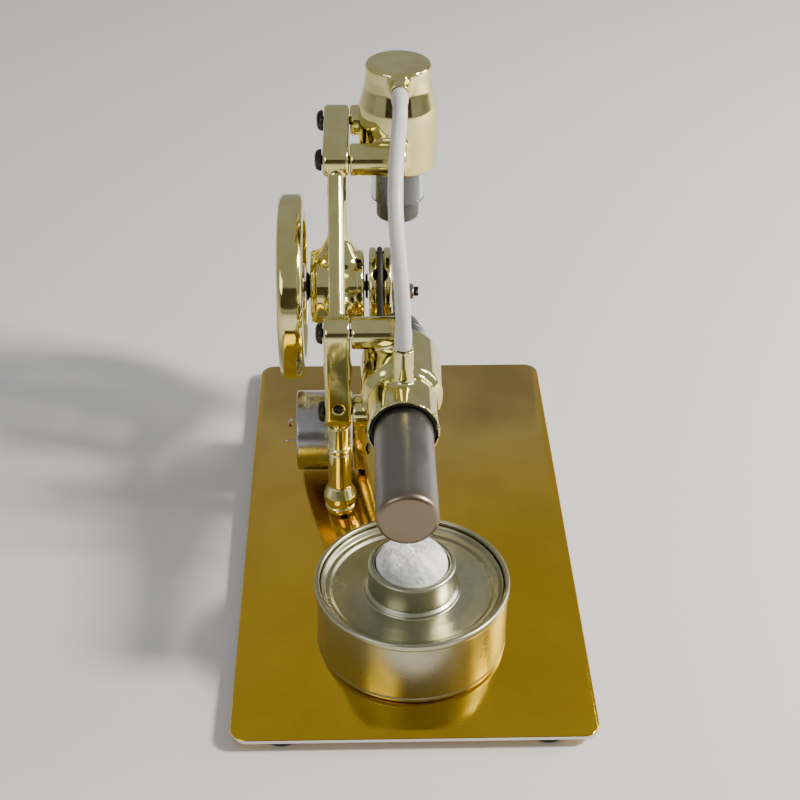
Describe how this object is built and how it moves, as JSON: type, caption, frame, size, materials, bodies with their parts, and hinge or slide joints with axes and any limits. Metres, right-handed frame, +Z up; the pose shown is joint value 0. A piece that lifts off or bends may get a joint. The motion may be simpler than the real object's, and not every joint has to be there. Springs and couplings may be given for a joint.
{
  "type": "hot-air engine model",
  "caption": "Table-top hot-air engine with an upright and a lying glass-lined cylinder, flywheel, belt-driven generator and spirit burner on a gold base plate.",
  "frame": {"origin": "middle of the base plate, on the surface that the feet stand on", "axes": "+Z up, +Y towards the crankshaft end, -Y towards the burner, +X along the crankshaft towards the connecting rods"},
  "size_m": [0.094, 0.17, 0.126],
  "materials": {
    "gold_plating": "pale gold plating, polished",
    "gold_plate": "deep gold mirror film on sheet aluminium",
    "bare_steel": "brushed, slightly heat-tinted",
    "dark_steel": "dark nickel",
    "zinc_plate": "zinc-plated, satin",
    "tinplate": "satin tinplate",
    "graphite": "machined graphite",
    "clear_glass": "clear borosilicate",
    "black_rubber": "matte black",
    "black_nylon": "moulded black",
    "silicone": "translucent white",
    "cotton": "loose cotton wool"
  },
  "bodies": {
    "engine": {"base_plate": "gold_plate", "rubber_foot_front_left": "black_rubber", "rubber_foot_front_right": "black_rubber", "rubber_foot_rear_left": "black_rubber", "rubber_foot_rear_right": "black_rubber", "frame_post": "gold_plating", "post_screw": "dark_steel", "post_grub_screw": "dark_steel", "frame_casting": "gold_plating", "bearing_left": "bare_steel", "bearing_right": "bare_steel", "cold_casting": "gold_plating", "hot_casting": "gold_plating", "cold_glass_cylinder": "clear_glass", "hot_glass_cylinder": "clear_glass", "cold_hose_stem": "bare_steel", "hot_hose_stem": "bare_steel", "collar_seal": "black_rubber", "hot_tube": "bare_steel", "air_hose": "silicone", "cold_screw_front": "dark_steel", "cold_screw_rear": "dark_steel", "hot_screw_upper": "dark_steel", "hot_screw_lower": "dark_steel", "motor_can": "zinc_plate", "motor_end_cap": "black_nylon", "motor_magnet": "dark_steel", "motor_terminal_front": "zinc_plate", "motor_terminal_rear": "zinc_plate", "motor_mount": "gold_plating", "motor_screw_upper": "dark_steel", "motor_screw_lower": "dark_steel", "mount_screw_front": "dark_steel", "mount_screw_rear": "dark_steel", "drive_belt": "black_rubber"},
    "crank": {"crankshaft": "bare_steel", "flywheel": "gold_plating", "flywheel_spacer": "black_nylon", "crank_spacer": "black_nylon", "crank_pulley": "gold_plating", "crank_pin": "bare_steel", "crank_set_screw": "dark_steel"},
    "motor_rotor": {"motor_shaft": "bare_steel", "motor_armature": "bare_steel", "motor_pulley": "gold_plating"},
    "hot_piston_body": {"hot_piston": "graphite", "displacer": "bare_steel", "hot_wrist_pin": "bare_steel"},
    "hot_rod": {"hot_connecting_rod": "bare_steel"},
    "cold_piston_body": {"cold_piston": "graphite", "cold_wrist_pin": "bare_steel"},
    "cold_rod": {"cold_connecting_rod": "bare_steel", "pin_washer": "bare_steel", "pin_nut": "zinc_plate", "pin_screw": "dark_steel"},
    "burner": {"burner_can": "tinplate", "burner_lid": "tinplate", "wick": "cotton"}
  },
  "joints": [
    {"name": "crank_spin", "type": "hinge", "parent": "engine", "child": "crank", "pos_m": [-0.02, 0.0555, 0.053], "axis": [1, 0, 0], "continuous": true},
    {"name": "motor_spin", "type": "hinge", "parent": "engine", "child": "motor_rotor", "pos_m": [-0.02, 0.03, 0.0168], "axis": [1, 0, 0], "continuous": true},
    {"name": "hot_piston_slide", "type": "slide", "parent": "engine", "child": "hot_piston_body", "axis": [0, -1, 0], "range_m": [-0.00169, 0.0109]},
    {"name": "hot_rod_swing", "type": "hinge", "parent": "hot_piston_body", "child": "hot_rod", "pos_m": [-0.0017, 0.02561, 0.053], "axis": [1, 0, 0], "range_deg": [-2.8, 18.2]},
    {"name": "cold_piston_slide", "type": "slide", "parent": "engine", "child": "cold_piston_body", "axis": [0, 0, 1], "range_m": [-0.00142, 0.01117]},
    {"name": "cold_rod_swing", "type": "hinge", "parent": "cold_piston_body", "child": "cold_rod", "pos_m": [-0.0017, 0.0555, 0.08262], "axis": [1, 0, 0], "range_deg": [-17.6, 3.3]},
    {"name": "burner_slide", "type": "slide", "parent": "engine", "child": "burner", "axis": [0, -1, 0], "range_m": [0, 0.03]}
  ],
  "couplings": [
    {"joint": "motor_spin", "follows": "crank_spin", "ratio": 3.5078}
  ]
}
